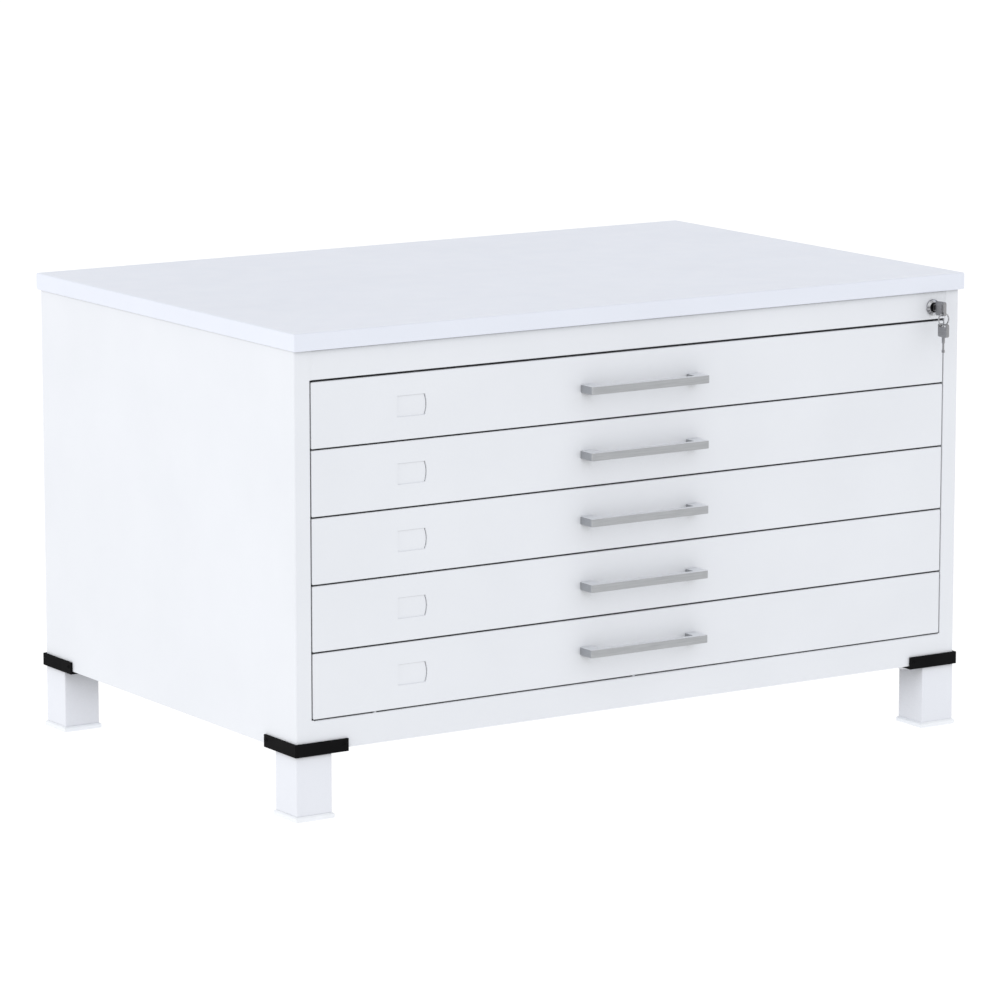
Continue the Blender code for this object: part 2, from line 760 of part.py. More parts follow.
def key(name, finish, place, parent, hanging):
    """A key about its ring slot: the blade points along +Y, or down when the key hangs."""
    bow_end = -KEY_HOLE_INSET
    bow_start = bow_end + KEY_BOW_LENGTH
    turn = Matrix.Rotation(math.radians(-90), 4, "X") if hanging else Matrix.Identity(4)

    half_bow = KEY_BOW_WIDTH / 2
    corners = [(bow_end, -half_bow), (bow_start, -half_bow), (bow_start, half_bow), (bow_end, half_bow)]
    bow = prism(
        rounded(corners, KEY_BOW_CORNER, 3), -KEY_BOW_THICKNESS / 2, KEY_BOW_THICKNESS / 2, "X"
    )
    bow.transform(turn)
    made = add_node(name, bow, finish, place, parent)

    half_blade, half_neck = KEY_BLADE_WIDTH / 2, KEY_NECK_WIDTH / 2
    slope = half_blade - half_neck
    widths = [(-SHEET, half_blade), (KEY_NECK_START, half_blade)]
    widths += [(KEY_NECK_START + slope, half_neck), (KEY_NECK_END, half_neck)]
    widths += [(KEY_NECK_END + slope, half_blade), (KEY_BLADE_LENGTH, half_blade)]
    edge = [(bow_start + along, half) for along, half in widths]
    outline = edge + [(along, -half) for along, half in reversed(edge)]
    blade = prism(outline, -KEY_BLADE_THICKNESS / 2, KEY_BLADE_THICKNESS / 2, "X")
    blade.transform(turn)
    join(made, blade, "blade")

    half_long, half_wide = KEY_SLOT_LENGTH / 2, KEY_SLOT_WIDTH / 2
    corners = [
        (-half_wide, -half_long),
        (half_wide, -half_long),
        (half_wide, half_long),
        (-half_wide, half_long),
    ]
    slot = prism(rounded(corners, 0.99 * half_wide, 4), -KEY_BOW_THICKNESS, KEY_BOW_THICKNESS, "X")
    slot.transform(turn)
    cut(made, slot, "ring_slot")
    return made


def key_ring(finish, place, parent):
    """Wire ring in the XZ plane that hangs from its highest point."""
    mesh = bmesh.new()
    bmesh.ops.create_circle(mesh, cap_ends=False, radius=RING_WIRE, segments=WIRE_STEPS)
    mesh.transform(Matrix.Translation((RING_RADIUS, 0, 0)))
    bmesh.ops.spin(
        mesh,
        geom=mesh.verts[:] + mesh.edges[:],
        axis=(0, 1, 0),
        cent=(0, 0, 0),
        steps=RING_STEPS,
        angle=math.tau,
        use_merge=True,
    )
    bmesh.ops.remove_doubles(mesh, verts=mesh.verts, dist=1e-6)
    mesh.transform(Matrix.Translation((0, 0, -RING_RADIUS)))
    return add_node("key_ring", mesh, finish, place, parent, smooth=True)


def main():
    for old in list(bpy.data.objects):
        bpy.data.objects.remove(old)
    steel = material("white_powder_coat", (0.84, 0.85, 0.87), 0.45)
    black = material("black_bracket", (0.015, 0.015, 0.016), 0.5)
    plastic = material("white_foot", (0.80, 0.81, 0.83), 0.5)
    zinc = material("zinc_plate", (0.62, 0.63, 0.65), 0.35, 1.0)
    grey = material("satin_handle", (0.47, 0.48, 0.50), 0.35, 1.0)
    chrome = material("lock_chrome", (0.72, 0.73, 0.75), 0.15, 1.0)
    dark = material("lock_core_dark", (0.05, 0.05, 0.055), 0.3, 1.0)

    side_panel(-1, steel)
    add_bar_guides(side_panel(1, steel))
    back_panel(steel)
    base_pan(steel)
    top_rail(steel)
    worktop(steel)
    for side in (-1, 1):
        for end in (-1, 1):
            leg_set(side, end, steel, black, plastic)
    for number in range(1, DRAWERS + 1):
        drawer(number, steel, zinc, grey)

    lock_housing(chrome)
    lock_bar(zinc)
    lock_hub = add_empty("lock", LOCK_PLACE)
    lock_core(dark, lock_hub)
    lock_cam(zinc, lock_hub)
    hole = (0, -KEY_HOLE_REACH, 0)
    fitted = key("key", chrome, hole, lock_hub, hanging=False)
    ring = key_ring(chrome, (0, 0, -RING_DROP), fitted)
    key("spare_key", chrome, (0, 0, -2 * RING_RADIUS - SPARE_DROP), ring, hanging=True)


main()
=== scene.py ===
"""Looks for the flat file cabinet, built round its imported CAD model. Metres, +Z up, the front faces -Y."""

import json
import math

import bmesh
import bpy
from mathutils import Euler, Matrix, Vector


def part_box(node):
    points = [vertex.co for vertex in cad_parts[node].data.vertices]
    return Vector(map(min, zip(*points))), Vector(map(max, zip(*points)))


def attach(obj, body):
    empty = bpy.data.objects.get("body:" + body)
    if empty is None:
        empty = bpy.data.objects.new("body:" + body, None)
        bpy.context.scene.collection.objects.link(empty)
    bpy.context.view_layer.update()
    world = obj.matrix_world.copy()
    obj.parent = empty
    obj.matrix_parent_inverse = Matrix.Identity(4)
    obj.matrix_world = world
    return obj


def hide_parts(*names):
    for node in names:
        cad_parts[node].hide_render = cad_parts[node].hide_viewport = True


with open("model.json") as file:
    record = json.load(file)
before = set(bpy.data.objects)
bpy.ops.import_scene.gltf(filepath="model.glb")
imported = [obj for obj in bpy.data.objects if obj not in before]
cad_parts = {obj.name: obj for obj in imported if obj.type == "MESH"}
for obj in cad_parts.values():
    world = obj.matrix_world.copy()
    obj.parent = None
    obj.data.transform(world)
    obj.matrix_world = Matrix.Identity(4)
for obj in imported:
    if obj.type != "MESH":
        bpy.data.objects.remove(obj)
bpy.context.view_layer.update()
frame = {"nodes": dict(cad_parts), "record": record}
NODES = frame["nodes"]
SUBPARTS = frame["record"]["subparts"]
DRAWERS = range(1, 6)
SIDES = ("left", "right")
CORNERS = ("front_left", "front_right", "back_left", "back_right")
SIGN = {"left": -1, "right": 1}

# Sheet thickness and the gap between touching pieces, as in the CAD model.
SHEET = 0.001
TOUCH = 0.0003

# Camera, measured from the top front left corner of the carcass.
CAMERA_OFFSET = Vector((-3.0686, -5.1707, 0.9074))
CAMERA_YAW = math.radians(-33.0327)
CAMERA_PITCH = math.radians(10.2555)
CAMERA_LENS = 183.52
SENSOR = 36.0


def box(node):
    return tuple(Vector(corner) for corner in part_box(node))


# Where things are, read from the frame.
TOP_LOW = box("worktop")[0]
LEFT_LOW, LEFT_HIGH = box("side_panel_left")
RAIL_LOW, RAIL_HIGH = box("top_rail")
PAN_LOW, PAN_HIGH = box("base_pan")
BACK_LOW, BACK_HIGH = box("back_panel")
FRONT_Y = LEFT_LOW.y
BODY_CORNER = Vector((LEFT_LOW.x, FRONT_Y, TOP_LOW.z))
OPENING_HALF = RAIL_HIGH.x + TOUCH


# Materials.


def node_material(name):
    made = bpy.data.materials.new(name)
    made.use_nodes = True
    tree = made.node_tree
    return made, tree, tree.nodes["Principled BSDF"]


def add(tree, kind, **inputs):
    """Adds a shader node. A socket's value is given as its name in lower case with _ for each space."""
    node = tree.nodes.new(kind)
    for key, value in inputs.items():
        wanted = key.replace("_", " ")
        socket = next((s for s in node.inputs if s.name.lower() == wanted), None)
        if socket is None:
            setattr(node, key, value)
        else:
            socket.default_value = value
    return node


def noise(tree, scale, detail=2.0, roughness=0.5, stretch=(1, 1, 1)):
    """Noise in object space, so that its grain keeps its real size. Returns its factor socket."""
    where = add(tree, "ShaderNodeTexCoord")
    mapping = add(tree, "ShaderNodeMapping", scale=stretch)
    made = add(tree, "ShaderNodeTexNoise", scale=scale, detail=detail, roughness=roughness)
    tree.links.new(where.outputs["Object"], mapping.inputs["Vector"])
    tree.links.new(mapping.outputs["Vector"], made.inputs["Vector"])
    return made.outputs["Fac"]


def ramp_to(tree, factor, socket, low, high, start=0.3, end=0.7):
    """Drives a number socket from a factor: low at start, high at end."""
    spread = add(tree, "ShaderNodeMapRange")
    spread.inputs["From Min"].default_value = start
    spread.inputs["From Max"].default_value = end
    spread.inputs["To Min"].default_value = low
    spread.inputs["To Max"].default_value = high
    tree.links.new(factor, spread.inputs["Value"])
    tree.links.new(spread.outputs["Result"], socket)


def tint(tree, factor, dark, light, start=0.3, end=0.7):
    """A colour that runs from dark to light with a factor. Returns its socket."""
    ramp = tree.nodes.new("ShaderNodeValToRGB")
    ramp.color_ramp.elements[0].position = start
    ramp.color_ramp.elements[1].position = end
    ramp.color_ramp.elements[0].color = (*dark, 1)
    ramp.color_ramp.elements[1].color = (*light, 1)
    tree.links.new(factor, ramp.inputs["Fac"])
    return ramp.outputs["Color"]


def blend(tree, factor, first, second):
    """Mixes a second colour into the first by a factor socket. The second may be a plain colour."""
    made = add(tree, "ShaderNodeMix", data_type="RGBA")
    tree.links.new(factor, made.inputs["Factor"])
    colours = [s for s in made.inputs if s.type == "RGBA"]
    for socket, colour in zip(colours, (first, second)):
        if isinstance(colour, tuple):
            socket.default_value = (*colour, 1)
        else:
            tree.links.new(colour, socket)
    return next(s for s in made.outputs if s.type == "RGBA")


# Painted shade: how far the white paint's colour is darkened near other surfaces, where shade falls. REACH is in
# metres. LIFT turns the search upward, and it fades out where a normal's Z falls through the UNDERSIDE range. The
# stops are (share of the search that is open, shade).
PAINTED_SHADE_REACH = 0.12
PAINTED_SHADE_LIFT = 1.5
PAINTED_SHADE_SAMPLES = 8
UNDERSIDE = (-0.7, -0.5)
PAINTED_SHADE_STOPS = (
    (0.0, (0.12, 0.12, 0.125)),
    (0.1, (0.55, 0.545, 0.535)),
    (0.2, (0.82, 0.81, 0.79)),
    (0.34, (0.98, 0.975, 0.967)),
    (0.6, (1.0, 0.997, 0.995)),
    (0.76, (1.0, 1.0, 1.0)),
)
LEG_PAINTED_SHADE_STOPS = (
    (0.0, (0.45, 0.447, 0.44)),
    (0.2, (0.68, 0.67, 0.66)),
    (0.34, (0.84, 0.83, 0.82)),
    (0.6, (0.97, 0.965, 0.96)),
    (0.76, (1.0, 1.0, 1.0)),
)


def painted_shade(tree, colour, painted_shades):
    """Paints shade into a colour where other surfaces stand close above it: in gaps, under the slab, under the
    handles.
    """
    shape = add(tree, "ShaderNodeNewGeometry")
    parts = add(tree, "ShaderNodeSeparateXYZ")
    upward = add(tree, "ShaderNodeCombineXYZ")
    lift = add(tree, "ShaderNodeVectorMath", operation="ADD")
    unit = add(tree, "ShaderNodeVectorMath", operation="NORMALIZE")
    found = add(tree, "ShaderNodeAmbientOcclusion", distance=PAINTED_SHADE_REACH, samples=PAINTED_SHADE_SAMPLES)
    tree.links.new(shape.outputs["Normal"], parts.inputs["Vector"])
    ramp_to(tree, parts.outputs["Z"], upward.inputs["Z"], 0, PAINTED_SHADE_LIFT, *UNDERSIDE)
    tree.links.new(shape.outputs["Normal"], lift.inputs[0])
    tree.links.new(upward.outputs["Vector"], lift.inputs[1])
    tree.links.new(lift.outputs["Vector"], unit.inputs[0])
    tree.links.new(unit.outputs["Vector"], found.inputs["Normal"])
    ramp = tree.nodes.new("ShaderNodeValToRGB")
    stops = ramp.color_ramp.elements
    while len(stops) < len(painted_shades):
        stops.new(0.5)
    for stop, (place, shade) in zip(stops, painted_shades):
        stop.position = place
        stop.color = (*shade, 1)
    tree.links.new(found.outputs["AO"], ramp.inputs["Fac"])
    made = add(tree, "ShaderNodeMix", data_type="RGBA", blend_type="MULTIPLY")
    made.inputs["Factor"].default_value = 1.0
    first, second = [socket for socket in made.inputs if socket.type == "RGBA"]
    tree.links.new(colour, first)
    tree.links.new(ramp.outputs["Color"], second)
    return next(socket for socket in made.outputs if socket.type == "RGBA")


def bump(tree, shader, factor, strength, distance, below=None):
    made = add(tree, "ShaderNodeBump", strength=strength, distance=distance)
    tree.links.new(factor, made.inputs["Height"])
    if below is not None:
        tree.links.new(below.outputs["Normal"], made.inputs["Normal"])
    tree.links.new(made.outputs["Normal"], shader.inputs["Normal"])
    return made


def powder_coat(name, dark, light, roughness, painted_shades=PAINTED_SHADE_STOPS):
    """Baked powder coat: a fine pebbled skin, slight mottling and, where shade stops are given, painted shade in gaps
    and under things.
    """
    made, tree, shader = node_material(name)
    skin = tint(tree, noise(tree, 9, 3), dark, light)
    tree.links.new(painted_shade(tree, skin, painted_shades) if painted_shades else skin, shader.inputs["Base Color"])
    ramp_to(tree, noise(tree, 30, 4), shader.inputs["Roughness"], roughness - 0.05, roughness + 0.05)
    wave = bump(tree, shader, noise(tree, 160, 2), 0.25, 0.00006)
    bump(tree, shader, noise(tree, 1100, 2), 0.5, 0.00003, below=wave)
    shader.inputs["Specular IOR Level"].default_value = 0.45
    return made


def brushed_metal(name, dark, light, roughness, stretch, scale=900, painted_top_highlight=None):
    """Metal with fine lines along the axis where stretch is small. A paler colour, given last, is a painted highlight
    blended onto its upper faces for light from above.
    """
    made, tree, shader = node_material(name)
    lines = noise(tree, scale, 3, 0.6, stretch)
    colour = tint(tree, lines, dark, light)
    # Painted highlight: upper faces are blended toward the paler colour, standing in for light from above.
    if painted_top_highlight is not None:
        shape = add(tree, "ShaderNodeTexCoord")
        split = add(tree, "ShaderNodeSeparateXYZ")
        tree.links.new(shape.outputs["Normal"], split.inputs["Vector"])
        upward = add(tree, "ShaderNodeMapRange")
        upward.inputs["From Min"].default_value = 0.35
        upward.inputs["From Max"].default_value = 0.95
        tree.links.new(split.outputs["Z"], upward.inputs["Value"])
        colour = blend(tree, upward.outputs["Result"], colour, painted_top_highlight)
    tree.links.new(colour, shader.inputs["Base Color"])
    ramp_to(tree, noise(tree, 60, 3), shader.inputs["Roughness"], roughness - 0.06, roughness + 0.06)
    shader.inputs["Metallic"].default_value = 1.0
    bump(tree, shader, lines, 0.35, 0.00002)
    return made


def painted_reflection_metal(name, dark, light, roughness):
    """Polished plate with painted reflections: broad dark and light streaks in its colour that follow the way a
    surface faces.
    """
    made, tree, shader = node_material(name)
    where = add(tree, "ShaderNodeTexCoord")
    reflection_streaks = add(tree, "ShaderNodeTexNoise", scale=2.6, detail=1.0)
    tree.links.new(where.outputs["Normal"], reflection_streaks.inputs["Vector"])
    colour = tint(tree, reflection_streaks.outputs["Fac"], dark, light, 0.38, 0.62)
    tree.links.new(colour, shader.inputs["Base Color"])
    ramp_to(tree, noise(tree, 400, 3), shader.inputs["Roughness"], roughness - 0.04, roughness + 0.04)
    shader.inputs["Metallic"].default_value = 1.0
    bump(tree, shader, noise(tree, 900, 2), 0.2, 0.00001)
    return made


def plastic(name, dark, light, roughness):
    made, tree, shader = node_material(name)
    skin = tint(tree, noise(tree, 40, 3), dark, light)
    tree.links.new(skin, shader.inputs["Base Color"])
    ramp_to(tree, noise(tree, 90, 3), shader.inputs["Roughness"], roughness - 0.05, roughness + 0.05)
    bump(tree, shader, noise(tree, 1500, 2), 0.4, 0.00002)
    return made


SATIN = 0.42
WHITE_DARK, WHITE_LIGHT = (0.768, 0.791, 0.836), (0.788, 0.811, 0.856)

# The white, leg and worktop coats carry painted shade through their stops. The trays' coat has none.
white = powder_coat("white_powder_coat", WHITE_DARK, WHITE_LIGHT, SATIN)
tray_white = powder_coat("tray_powder_coat", WHITE_DARK, WHITE_LIGHT, SATIN, None)
leg_white = powder_coat("leg_powder_coat", (0.774, 0.798, 0.858), (0.792, 0.816, 0.876), SATIN, LEG_PAINTED_SHADE_STOPS)
top_white = powder_coat("worktop_powder_coat", (0.757, 0.790, 0.875), (0.775, 0.808, 0.893), SATIN)
black = powder_coat("black_powder_coat", (0.004, 0.004, 0.0045), (0.008, 0.008, 0.0085), 0.7)
black.node_tree.nodes["Principled BSDF"].inputs["Specular IOR Level"].default_value = 0.05
foot_white = plastic("white_plastic", (0.845, 0.87, 0.91), (0.875, 0.90, 0.94), 0.5)
nylon = plastic("roller_nylon", (0.72, 0.72, 0.70), (0.80, 0.80, 0.78), 0.38)
zinc = brushed_metal("zinc", (0.52, 0.53, 0.55), (0.66, 0.67, 0.70), 0.32, (1, 0.04, 1))
satin = brushed_metal(
    "satin_aluminium", (0.37, 0.38, 0.395), (0.45, 0.46, 0.475), 0.40, (0.03, 1, 1), painted_top_highlight=(0.82, 0.83, 0.85)
)
# Chrome and the ring's wire carry painted reflections in their colour.
chrome = painted_reflection_metal("polished_chrome", (0.10, 0.10, 0.11), (0.62, 0.63, 0.66), 0.12)
ring_wire = painted_reflection_metal("ring_wire", (0.32, 0.32, 0.33), (0.60, 0.60, 0.62), 0.2)
nickel = brushed_metal("rubbed_nickel", (0.25, 0.25, 0.26), (0.36, 0.36, 0.37), 0.34, (1, 0.1, 1))
dark = brushed_metal("lock_core_steel", (0.012, 0.012, 0.014), (0.04, 0.04, 0.045), 0.3, (1, 1, 1), 300)
guard_steel = brushed_metal("guard_steel", (0.10, 0.10, 0.105), (0.18, 0.18, 0.19), 0.3, (1, 1, 0.1), 900)

FINISHES = {
    "white_powder_coat": white,
    "black_steel": black,
    "white_plastic": foot_white,
    "zinc_plated_steel": zinc,
    "satin_aluminium": satin,
    "chrome": chrome,
    "nickel": nickel,
    "dark_steel": dark,
}


# The carried-over CAD nodes: finishes and softened edges.

# Nodes whose finish isn't their slot's usual one, by the start of their names.
OWN_FINISHES = {"worktop": top_white, "leg": leg_white, "drawer_tray": tray_white}

# Round nodes are shaded smooth. Hardened normals turn the feet's bevels dark, so the feet go without.
ROUND = ("lock_housing", "lock_core")
FLAT_SHADED = ("foot",)
BEVEL_ANGLE = math.radians(30)
DISSOLVE_ANGLE = math.radians(0.5)
EDGE_RADII = {
    "worktop": 0.0015,
    "side_panel": 0.0009,
    "back_panel": 0.0009,
    "base_pan": 0.0009,
    "top_rail": 0.0009,
    "leg": 0.0012,
    "foot": 0.0009,
    "corner_bracket": 0.0007,
    "cabinet_runner": 0.0002,
    "drawer_runner": 0.0002,
    "drawer_front": 0.00012,
    "drawer_tray": 0.0003,
    "drawer_handle": 0.0006,
    "lock_bar": 0.0003,
    "lock_cam": 0.0003,
    "lock_housing": 0.0003,
    "lock_core": 0.0002,
    "key": 0.0004,
    "spare_key": 0.0004,
}


def round_shading():
    """A modifier's node group that shades a mesh smooth across every edge flatter than BEVEL_ANGLE."""
    group = bpy.data.node_groups.new("round_shading", "GeometryNodeTree")
    group.interface.new_socket("Geometry", in_out="INPUT", socket_type="NodeSocketGeometry")
    group.interface.new_socket("Geometry", in_out="OUTPUT", socket_type="NodeSocketGeometry")
    start = group.nodes.new("NodeGroupInput")
    end = group.nodes.new("NodeGroupOutput")
    angle = group.nodes.new("GeometryNodeInputMeshEdgeAngle")
    slight = add(group, "FunctionNodeCompare", data_type="FLOAT", operation="LESS_THAN")
    slight.inputs["B"].default_value = BEVEL_ANGLE
    edges = add(group, "GeometryNodeSetShadeSmooth", domain="EDGE")
    faces = add(group, "GeometryNodeSetShadeSmooth", domain="FACE")
    group.links.new(angle.outputs["Unsigned Angle"], slight.inputs["A"])
    group.links.new(start.outputs[0], edges.inputs["Geometry"])
    group.links.new(slight.outputs["Result"], edges.inputs["Shade Smooth"])
    group.links.new(edges.outputs["Geometry"], faces.inputs["Geometry"])
    group.links.new(faces.outputs["Geometry"], end.inputs[0])
    return group


def soften(obj, width, shading):
    """Rounds the sharp edges of a CAD node. The node's own mesh stays as it is."""
    weld = obj.modifiers.new("weld", "WELD")
    weld.merge_threshold = 1e-6
    flat = obj.modifiers.new("flat", "DECIMATE")
    flat.decimate_type = "DISSOLVE"
    flat.angle_limit = DISSOLVE_ANGLE
    if obj.name.startswith(ROUND):
        obj.modifiers.new("round", "NODES").node_group = shading
    edges = obj.modifiers.new("edges", "BEVEL")
    edges.width = width
    edges.segments = 2
    edges.limit_method = "ANGLE"
    edges.angle_limit = BEVEL_ANGLE
    edges.harden_normals = not obj.name.startswith(FLAT_SHADED)


def dress_cad_nodes():
    shading = round_shading()
    for part in SUBPARTS:
        node = NODES[part["node"]]
        finish = FINISHES[part["material_slot"]]
        for start, own in OWN_FINISHES.items():
            if part["node"].startswith(start):
                finish = own
        node.data.materials.clear()
        node.data.materials.append(finish)
        for start, width in EDGE_RADII.items():
            if part["node"] == start or part["node"].startswith(start + "_"):
                soften(node, width, shading)
                break


# Shapes for the added pieces. Each returns a bmesh.


def circle(radius, height, steps=24, hexagon=False):
    """A ring of points at a height. A hexagon's radius is half its width across flats."""
    points = []
    for i in range(steps):
        turn = math.tau * i / steps
        reach = radius
        if hexagon:
            reach = radius / math.cos((turn + math.pi / 6) % (math.pi / 3) - math.pi / 6)
        points.append(Vector((reach * math.cos(turn), reach * math.sin(turn), height)))
    return points


def stacked(rings, closed=False):
    """A skin over rings of points, with both ends capped, or joined end to end."""
    mesh = bmesh.new()
    loops = [[mesh.verts.new(point) for point in ring] for ring in rings]
    pairs = list(zip(loops, loops[1:])) + ([(loops[-1], loops[0])] if closed else [])
    for lower, upper in pairs:
        for i in range(len(lower)):
            j = (i + 1) % len(lower)
            mesh.faces.new((lower[i], lower[j], upper[j], upper[i]))
    if not closed:
        mesh.faces.new(loops[0])
        mesh.faces.new(loops[-1])
    return mesh


def button_head(radius, height):
    """Low domed screw head with a hexagon socket."""
    socket = radius * 0.42
    return stacked(
        [
            circle(radius, 0),
            circle(radius * 0.99, height * 0.3),
            circle(radius * 0.9, height * 0.7),
            circle(radius * 0.7, height * 0.95),
            circle(radius * 0.55, height),
            circle(socket, height, hexagon=True),
            circle(socket * 0.96, height * 0.3, hexagon=True),
        ]
    )


def hex_bolt(radius, height):
    """Hexagon head with a chamfered top on a washer."""
    washer = height * 0.25
    return stacked(
        [
            circle(radius * 1.5, 0),
            circle(radius * 1.5, washer * 0.8),
            circle(radius * 1.45, washer),
            circle(radius, washer, hexagon=True),
            circle(radius, height * 0.88, hexagon=True),
            circle(radius * 0.94, height),
        ]
    )


def rivet_head(radius, height):
    """Domed blind rivet with a sunk middle."""
    return stacked(
        [
            circle(radius, 0, 16),
            circle(radius * 0.97, height * 0.35, 16),
            circle(radius * 0.75, height * 0.8, 16),
            circle(radius * 0.4, height, 16),
            circle(radius * 0.34, height * 0.95, 16),
            circle(radius * 0.3, height * 0.55, 16),
        ]
    )


def strip(outline, start, end, axis):
    """A bar of constant section along X, Y or Z. The outline gives the other two coordinates, in order."""
    order = {"X": (2, 0, 1), "Y": (0, 2, 1), "Z": (0, 1, 2)}[axis]

    def point(first, second, along):
        values = (first, second, along)
        return Vector([values[i] for i in order])

    return stacked([[point(a, b, along) for a, b in outline] for along in (start, end)])


def rounded_rectangle(centre, half_width, half_height, radius, steps=4):
    points = []
    for quarter, (x, y) in enumerate(((1, 1), (-1, 1), (-1, -1), (1, -1))):
        middle = (centre[0] + x * (half_width - radius), centre[1] + y * (half_height - radius))
        for step in range(steps + 1):
            turn = math.pi / 2 * (quarter + step / steps)
            points.append((middle[0] + radius * math.cos(turn), middle[1] + radius * math.sin(turn)))
    return points


def gathered(shapes):
    """Several bmeshes as one. The given ones are freed."""
    whole = bmesh.new()
    for shape in shapes:
        held = bpy.data.meshes.new("held")
        shape.to_mesh(held)
        shape.free()
        whole.from_mesh(held)
        bpy.data.meshes.remove(held)
    return whole


def copies(make, places):
    """One bmesh that holds a shape made anew for each place, a matrix."""
    shapes = []
    for place in places:
        shape = make()
        shape.transform(place)
        shapes.append(shape)
    return gathered(shapes)


def facing(axis, place):
    """A matrix that stands a shape drawn along +Z on a place, pointing along a signed axis such as "-Y"."""
    turn = {
        "-Z": Matrix.Rotation(math.pi, 4, "X"),
        "+Y": Matrix.Rotation(-math.pi / 2, 4, "X"),
        "-Y": Matrix.Rotation(math.pi / 2, 4, "X"),
        "+X": Matrix.Rotation(math.pi / 2, 4, "Y"),
        "-X": Matrix.Rotation(-math.pi / 2, 4, "Y"),
    }[axis]
    return Matrix.Translation(place) @ turn


def piece(name, mesh, finish, body, smooth=35):
    """A named object from a bmesh in the row frame, which rides on a body."""
    bmesh.ops.recalc_face_normals(mesh, faces=mesh.faces)
    data = bpy.data.meshes.new(name)
    mesh.to_mesh(data)
    mesh.free()
    data.materials.append(finish)
    data.shade_smooth()
    data.set_sharp_from_angle(angle=math.radians(smooth))
    made = bpy.data.objects.new(name, data)
    bpy.context.scene.collection.objects.link(made)
    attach(made, body)
    return made


# Carcass details.

SEAM_HALF = 0.0024
SEAM_PROUD = 0.00004
SEAM_DEPTH = 0.0009
RIVET_RADIUS = 0.0024
RIVET_HEIGHT = 0.0009
RIVETS_PER_SIDE = 5
RIVET_END_DISTANCE = 0.04
RIVET_INSET = 0.010
RIVET_SUNK = 0.0001
BACK_RIB_X = 0.17
BACK_RIB_HALF = 0.010
BACK_RIB_RISE = 0.0026
BACK_RIB_END_DISTANCE = 0.05
# (inset from the rib's outline, height over the panel)
BACK_RIB_PROFILE = ((0, -0.0003), (0, 0), (0.003, BACK_RIB_RISE * 0.6), (0.006, BACK_RIB_RISE))
BOLT_RADIUS = 0.0065
BOLT_HEIGHT = 0.0045
ARM_SCREW_RADIUS = 0.0026
ARM_SCREW_HEIGHT = 0.0009
ARM_SCREW_INSET = 0.0065
ARM_SCREW_RISE = 0.0015
FOOT_BEAD_CORNER = 0.0015
# (growth past the leg's side, height over the foot's plate)
FOOT_BEAD_PROFILE = ((0.0012, -0.0004), (0.0012, 0.0001), (0.0006, 0.0006), (-0.0001, 0.0009), (-0.0001, -0.0004))


def seam_fillers():
    """Dressed weld beads where the rails meet the stiles."""
    for side in SIDES:
        sign = SIGN[side]
        outer = sign * (OPENING_HALF + SEAM_HALF)
        inner = sign * (OPENING_HALF - SEAM_HALF)
        face = PAN_LOW.y - SEAM_PROUD
        outline = [(outer, face), (inner, face), (inner, face + SEAM_DEPTH), (outer, face + SEAM_DEPTH)]
        bead = strip(outline, PAN_LOW.z + SHEET, PAN_HIGH.z - TOUCH, "Z")
        piece(f"seam_bead_bottom_{side}", bead, white, "cabinet")

        rail_face = RAIL_LOW.y - SEAM_PROUD
        start = sign * (OPENING_HALF + TOUCH) if side == "right" else outer
        outline = [
            (start, FRONT_Y - SEAM_PROUD),
            (sign * (OPENING_HALF - TOUCH), FRONT_Y - SEAM_PROUD),
            (inner, rail_face),
            (inner, rail_face + SEAM_DEPTH),
            (start, rail_face + SEAM_DEPTH),
        ]
        bead = strip(outline, RAIL_LOW.z + TOUCH, RAIL_HIGH.z - TOUCH, "Z")
        piece(f"seam_bead_top_{side}", bead, white, "cabinet")


def back_details():
    """Rivets through the back flanges, and two pressed stiffening ribs on the back panel."""
    face = BACK_HIGH.y
    pitch = (BACK_HIGH.z - BACK_LOW.z - 2 * RIVET_END_DISTANCE) / (RIVETS_PER_SIDE - 1)
    levels = [BACK_LOW.z + RIVET_END_DISTANCE + i * pitch for i in range(RIVETS_PER_SIDE)]
    places = []
    for side in SIDES:
        x = SIGN[side] * (abs(LEFT_LOW.x) - RIVET_INSET)
        places += [facing("+Y", (x, LEFT_HIGH.y - RIVET_SUNK, level)) for level in levels]
    rivets = copies(lambda: rivet_head(RIVET_RADIUS, RIVET_HEIGHT), places)
    piece("back_rivets", rivets, white, "cabinet")

    half_height = (BACK_HIGH.z - BACK_LOW.z) / 2 - BACK_RIB_END_DISTANCE
    middle = (BACK_HIGH.z + BACK_LOW.z) / 2
    for side in SIDES:
        centre = (SIGN[side] * BACK_RIB_X, middle)
        rings = []
        for inset, rise in BACK_RIB_PROFILE:
            half_width = BACK_RIB_HALF - inset
            outline = rounded_rectangle(centre, half_width, half_height - inset, half_width - 1e-4)
            rings.append([Vector((x, face + rise, z)) for x, z in outline])
        rib = stacked(rings)
        piece(f"back_rib_{side}", rib, white, "cabinet", smooth=60)


